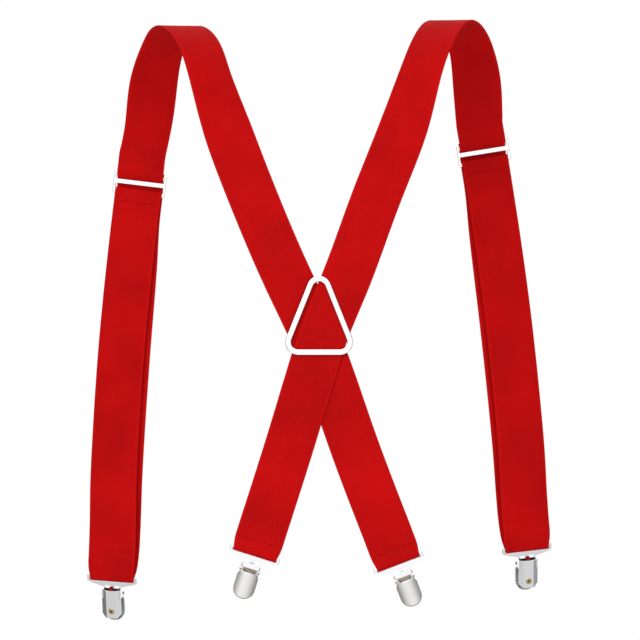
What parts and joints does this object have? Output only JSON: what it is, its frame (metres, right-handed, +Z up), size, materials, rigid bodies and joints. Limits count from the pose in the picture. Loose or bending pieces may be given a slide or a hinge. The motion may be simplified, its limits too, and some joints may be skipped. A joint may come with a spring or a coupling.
{
  "type": "suspenders",
  "caption": "Elastic webbing suspenders with crossed back straps in a triangular keeper, slide adjusters and lever-clasp clips.",
  "frame": {"origin": "midway between the two shoulder loops, level with the underside of their tops", "axes": "+X to the right and +Z up as seen from behind the wearer, +Y from the wearer's back to the front"},
  "size_m": [0.3365, 0.1345, 0.4339],
  "materials": {
    "webbing": "woven elastic, fine crosswise ribs",
    "nickel": "polished nickel plate",
    "steel": "drawn wire",
    "pad": "moulded, ridged",
    "brass": "pressed, satin"
  },
  "bodies": {
    "straps": {"left_back_end_fold": "webbing", "left_back_strap": "webbing", "left_shoulder_strap": "webbing", "left_front_strap": "webbing", "right_back_end_fold": "webbing", "right_back_strap": "webbing", "right_shoulder_strap": "webbing", "right_front_strap": "webbing", "keeper_front": "nickel", "keeper_back": "nickel", "keeper_posts": "nickel"},
    "left_adjuster": {"left_adjuster_frame": "nickel", "left_adjuster_end_fold": "webbing", "left_loop_outer": "webbing", "left_loop_inner": "webbing"},
    "left_loop_end": {"left_clip_fold": "webbing"},
    "right_adjuster": {"right_adjuster_frame": "nickel", "right_adjuster_end_fold": "webbing", "right_loop_outer": "webbing", "right_loop_inner": "webbing"},
    "right_loop_end": {"right_clip_fold": "webbing"},
    "left_front_clip": {"left_front_clip_strap_plate": "nickel", "left_front_clip_front_pad": "pad", "left_front_clip_pad_rivet": "brass"},
    "left_front_clip_jaw": {"left_front_clip_rear_jaw": "nickel", "left_front_clip_rear_pad": "pad", "left_front_clip_eyelet": "brass", "left_front_clip_lever_pin": "steel"},
    "left_front_clip_lever": {"left_front_clip_lever": "nickel"},
    "left_back_clip": {"left_back_clip_strap_plate": "nickel", "left_back_clip_front_pad": "pad", "left_back_clip_pad_rivet": "brass"},
    "left_back_clip_jaw": {"left_back_clip_rear_jaw": "nickel", "left_back_clip_rear_pad": "pad", "left_back_clip_eyelet": "brass", "left_back_clip_lever_pin": "steel"},
    "left_back_clip_lever": {"left_back_clip_lever": "nickel"},
    "right_front_clip": {"right_front_clip_strap_plate": "nickel", "right_front_clip_front_pad": "pad", "right_front_clip_pad_rivet": "brass"},
    "right_front_clip_jaw": {"right_front_clip_rear_jaw": "nickel", "right_front_clip_rear_pad": "pad", "right_front_clip_eyelet": "brass", "right_front_clip_lever_pin": "steel"},
    "right_front_clip_lever": {"right_front_clip_lever": "nickel"},
    "right_back_clip": {"right_back_clip_strap_plate": "nickel", "right_back_clip_front_pad": "pad", "right_back_clip_pad_rivet": "brass"},
    "right_back_clip_jaw": {"right_back_clip_rear_jaw": "nickel", "right_back_clip_rear_pad": "pad", "right_back_clip_eyelet": "brass", "right_back_clip_lever_pin": "steel"},
    "right_back_clip_lever": {"right_back_clip_lever": "nickel"}
  },
  "joints": [
    {"name": "left_adjuster_slide", "type": "slide", "parent": "straps", "child": "left_adjuster", "axis": [0.0705, 0, 0.9975], "range_m": [-0.48, 0.03], "deforming": ["left_front_strap"]},
    {"name": "left_loop_slide", "type": "slide", "parent": "left_adjuster", "child": "left_loop_end", "axis": [0.0705, 0, 0.9975], "range_m": [-0.015, 0.24], "deforming": ["left_loop_outer", "left_loop_inner"]},
    {"name": "right_adjuster_slide", "type": "slide", "parent": "straps", "child": "right_adjuster", "axis": [-0.1096, 0, 0.994], "range_m": [-0.48, 0.012], "deforming": ["right_front_strap"]},
    {"name": "right_loop_slide", "type": "slide", "parent": "right_adjuster", "child": "right_loop_end", "axis": [-0.1096, 0, 0.994], "range_m": [-0.006, 0.24], "deforming": ["right_loop_outer", "right_loop_inner"]},
    {"name": "left_front_clip_swing", "type": "hinge", "parent": "left_loop_end", "child": "left_front_clip", "pos_m": [-0.1494, 0.055, -0.4], "axis": [-0.9637, 0.2582, 0.0681], "range_deg": [-13, 57]},
    {"name": "left_front_clip_jaw_hinge", "type": "hinge", "parent": "left_front_clip", "child": "left_front_clip_jaw", "pos_m": [-0.14918, 0.05761, -0.40671], "axis": [-0.9637, 0.2582, 0.0681], "range_deg": [0, 11.5]},
    {"name": "left_front_clip_lever_hinge", "type": "hinge", "parent": "left_front_clip_jaw", "child": "left_front_clip_lever", "pos_m": [-0.14809, 0.06275, -0.4109], "axis": [0.9637, -0.2582, -0.0681], "range_deg": [0, 110]},
    {"name": "left_back_clip_swing", "type": "hinge", "parent": "straps", "child": "left_back_clip", "pos_m": [-0.0448, -0.05502, -0.3796], "axis": [0.9531, 0, -0.3026], "range_deg": [-37, 33]},
    {"name": "left_back_clip_jaw_hinge", "type": "hinge", "parent": "left_back_clip", "child": "left_back_clip_jaw", "pos_m": [-0.04698, -0.05477, -0.38646], "axis": [0.9531, 0, -0.3026], "range_deg": [0, 11.5]},
    {"name": "left_back_clip_lever_hinge", "type": "hinge", "parent": "left_back_clip_jaw", "child": "left_back_clip_lever", "pos_m": [-0.04877, -0.05797, -0.3921], "axis": [-0.9531, 0, 0.3026], "range_deg": [0, 110]},
    {"name": "right_front_clip_swing", "type": "hinge", "parent": "right_loop_end", "child": "right_front_clip", "pos_m": [0.1514, 0.055, -0.378], "axis": [-0.9605, -0.2574, -0.1059], "range_deg": [-13, 57]},
    {"name": "right_front_clip_jaw_hinge", "type": "hinge", "parent": "right_front_clip", "child": "right_front_clip_jaw", "pos_m": [0.15144, 0.05761, -0.38471], "axis": [-0.9605, -0.2574, -0.1059], "range_deg": [0, 11.5]},
    {"name": "right_front_clip_lever_hinge", "type": "hinge", "parent": "right_front_clip_jaw", "child": "right_front_clip_lever", "pos_m": [0.15053, 0.06275, -0.38894], "axis": [0.9605, 0.2574, 0.1059], "range_deg": [0, 110]},
    {"name": "right_back_clip_swing", "type": "hinge", "parent": "straps", "child": "right_back_clip", "pos_m": [0.0571, -0.05343, -0.3856], "axis": [0.9355, 0, 0.3532], "range_deg": [-37, 33]},
    {"name": "right_back_clip_jaw_hinge", "type": "hinge", "parent": "right_back_clip", "child": "right_back_clip_jaw", "pos_m": [0.05964, -0.05317, -0.39233], "axis": [0.9355, 0, 0.3532], "range_deg": [0, 11.5]},
    {"name": "right_back_clip_lever_hinge", "type": "hinge", "parent": "right_back_clip_jaw", "child": "right_back_clip_lever", "pos_m": [0.06173, -0.05637, -0.39787], "axis": [-0.9355, 0, -0.3532], "range_deg": [0, 110]}
  ],
  "couplings": [
    {"joint": "left_loop_slide", "follows": "left_adjuster_slide", "ratio": -0.5},
    {"joint": "right_loop_slide", "follows": "right_adjuster_slide", "ratio": -0.5},
    {"joint": "left_front_clip_jaw_hinge", "follows": "left_front_clip_lever_hinge", "ratio": 0.1045},
    {"joint": "left_back_clip_jaw_hinge", "follows": "left_back_clip_lever_hinge", "ratio": 0.1045},
    {"joint": "right_front_clip_jaw_hinge", "follows": "right_front_clip_lever_hinge", "ratio": 0.1045},
    {"joint": "right_back_clip_jaw_hinge", "follows": "right_back_clip_lever_hinge", "ratio": 0.1045}
  ]
}
